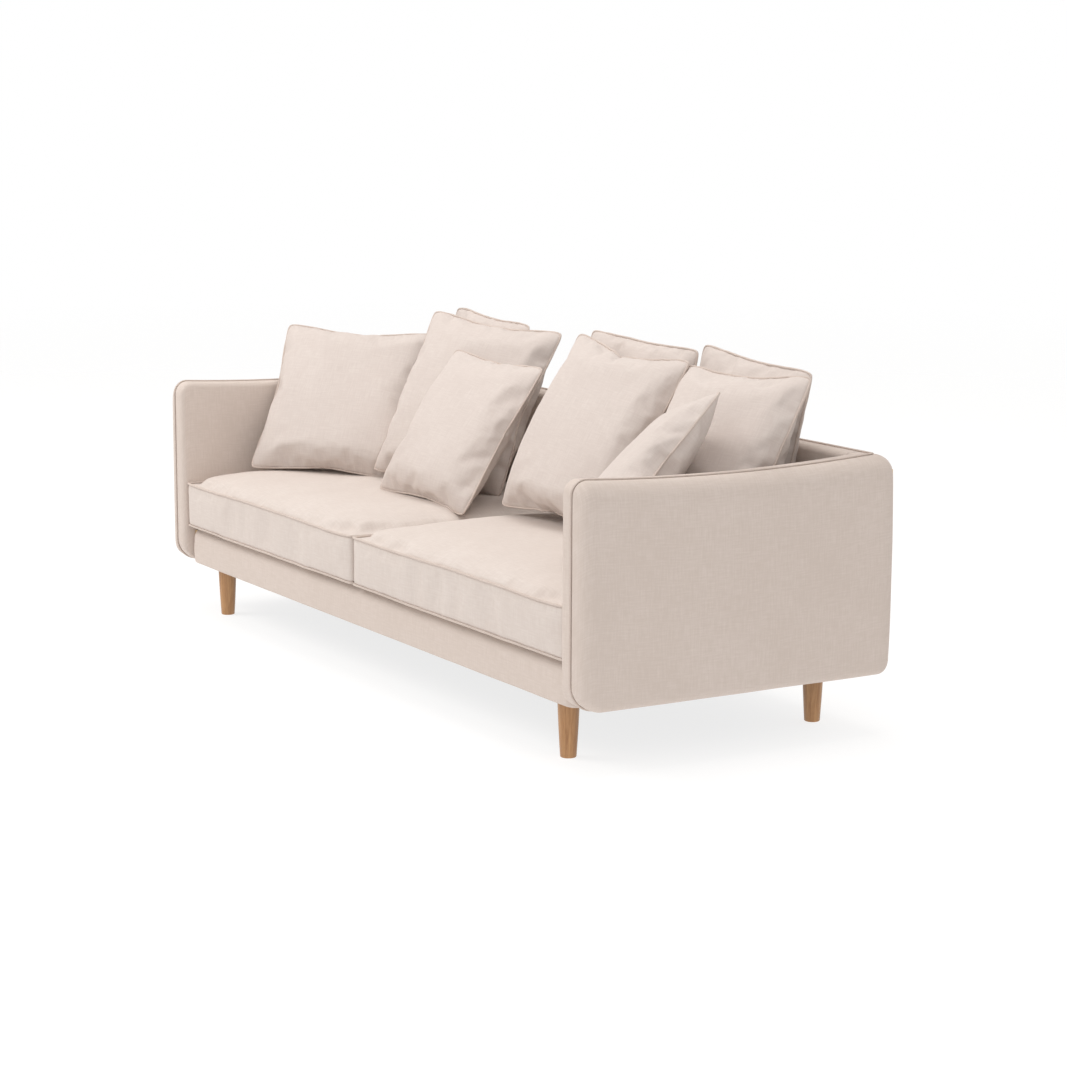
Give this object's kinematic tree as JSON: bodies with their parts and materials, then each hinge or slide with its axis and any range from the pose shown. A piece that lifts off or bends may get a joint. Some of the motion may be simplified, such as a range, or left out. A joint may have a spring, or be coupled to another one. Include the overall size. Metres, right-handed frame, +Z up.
{
  "type": "sofa",
  "caption": "Long low upholstered sofa with slim square arms, loose boxed seat cushions, loose scatter pillows and round tapered wooden legs.",
  "frame": {"origin": "on the floor, under the middle of the sofa's length and depth", "axes": "+X to the right seen from the front, -Y the way the seat faces, +Z up"},
  "size_m": [2.394, 0.918, 0.9059],
  "materials": {
    "upholstery": "warm pinkish beige linen-look plain weave",
    "seat_cushion": "warm pinkish beige linen-look plain weave, piped edges",
    "scatter_pillow": "warm pinkish beige linen-look plain weave, piped edges",
    "leg_wood": "turned beech, clear satin lacquer",
    "frame_wood": "sawn pine, unfinished",
    "hardboard": "brown hardboard",
    "bolt_steel": "zinc-plated steel",
    "spring_steel": "dark oil-tempered spring wire",
    "deck_cloth": "pale plain lining cloth",
    "dust_cloth": "black non-woven dust cloth"
  },
  "bodies": {
    "sofa_frame": {"front_rail": "frame_wood", "rear_rail": "frame_wood", "centre_cross_rail": "frame_wood", "back_top_rail": "frame_wood", "back_post_left": "frame_wood", "back_post_centre": "frame_wood", "back_post_right": "frame_wood", "back_board": "hardboard", "left_arm_front_post": "frame_wood", "left_arm_rear_post": "frame_wood", "left_arm_top_rail": "frame_wood", "left_side_rail": "frame_wood", "left_arm_board": "hardboard", "front_left_corner_block": "frame_wood", "rear_left_corner_block": "frame_wood", "front_left_leg": "leg_wood", "front_left_leg_bolt": "bolt_steel", "rear_left_leg": "leg_wood", "rear_left_leg_bolt": "bolt_steel", "left_leg_rail": "frame_wood", "seat_spring_left_1": "spring_steel", "seat_spring_left_2": "spring_steel", "seat_spring_left_3": "spring_steel", "seat_spring_left_4": "spring_steel", "seat_spring_left_5": "spring_steel", "left_arm_cover": "upholstery", "right_arm_front_post": "frame_wood", "right_arm_rear_post": "frame_wood", "right_arm_top_rail": "frame_wood", "right_side_rail": "frame_wood", "right_arm_board": "hardboard", "front_right_corner_block": "frame_wood", "rear_right_corner_block": "frame_wood", "front_right_leg": "leg_wood", "front_right_leg_bolt": "bolt_steel", "rear_right_leg": "leg_wood", "rear_right_leg_bolt": "bolt_steel", "right_leg_rail": "frame_wood", "seat_spring_right_1": "spring_steel", "seat_spring_right_2": "spring_steel", "seat_spring_right_3": "spring_steel", "seat_spring_right_4": "spring_steel", "seat_spring_right_5": "spring_steel", "right_arm_cover": "upholstery", "back_cover": "upholstery", "front_rail_cover": "upholstery", "deck_cloth": "deck_cloth", "dust_cover": "dust_cloth"},
    "seat_cushion_left": {"seat_cushion_left": "seat_cushion"},
    "seat_cushion_right": {"seat_cushion_right": "seat_cushion"},
    "pillow_left_corner": {"pillow_left_corner": "scatter_pillow"},
    "pillow_left_front": {"pillow_left_front": "scatter_pillow"},
    "pillow_left_back": {"pillow_left_back": "scatter_pillow"},
    "pillow_small_centre": {"pillow_small_centre": "scatter_pillow"},
    "pillow_centre_front": {"pillow_centre_front": "scatter_pillow"},
    "pillow_centre_back": {"pillow_centre_back": "scatter_pillow"},
    "pillow_right_front": {"pillow_right_front": "scatter_pillow"},
    "pillow_right_back": {"pillow_right_back": "scatter_pillow"},
    "pillow_small_right": {"pillow_small_right": "scatter_pillow"}
  },
  "joints": [
    {"name": "seat_cushion_left_lift", "type": "slide", "parent": "sofa_frame", "child": "seat_cushion_left", "axis": [0, 0, 1], "range_m": [0, 0.45]},
    {"name": "seat_cushion_right_lift", "type": "slide", "parent": "sofa_frame", "child": "seat_cushion_right", "axis": [0, 0, 1], "range_m": [0, 0.45]},
    {"name": "pillow_left_corner_lift", "type": "slide", "parent": "seat_cushion_left", "child": "pillow_left_corner", "axis": [-0.3308, 0.4337, 0.8382], "range_m": [0, 0.5]},
    {"name": "pillow_left_front_lift", "type": "slide", "parent": "seat_cushion_left", "child": "pillow_left_front", "axis": [0, 0, 1], "range_m": [0, 0.5]},
    {"name": "pillow_left_back_lift", "type": "slide", "parent": "seat_cushion_left", "child": "pillow_left_back", "axis": [0.0493, 0.2733, 0.9607], "range_m": [0, 0.5]},
    {"name": "pillow_small_centre_lift", "type": "slide", "parent": "pillow_left_front", "child": "pillow_small_centre", "axis": [0, -0.3, 0.9539], "range_m": [0, 0.5]},
    {"name": "pillow_centre_front_lift", "type": "slide", "parent": "seat_cushion_right", "child": "pillow_centre_front", "axis": [0, 0, 1], "range_m": [0, 0.5]},
    {"name": "pillow_centre_back_lift", "type": "slide", "parent": "seat_cushion_right", "child": "pillow_centre_back", "axis": [0.0203, 0.2097, 0.9776], "range_m": [0, 0.5]},
    {"name": "pillow_right_front_lift", "type": "slide", "parent": "seat_cushion_right", "child": "pillow_right_front", "axis": [0, 0, 1], "range_m": [0, 0.5]},
    {"name": "pillow_right_back_lift", "type": "slide", "parent": "seat_cushion_right", "child": "pillow_right_back", "axis": [0.0664, 0.1915, 0.9792], "range_m": [0, 0.5]},
    {"name": "pillow_small_right_lift", "type": "slide", "parent": "pillow_right_front", "child": "pillow_small_right", "axis": [-0.0999, -0.2996, 0.9488], "range_m": [0, 0.5]}
  ]
}
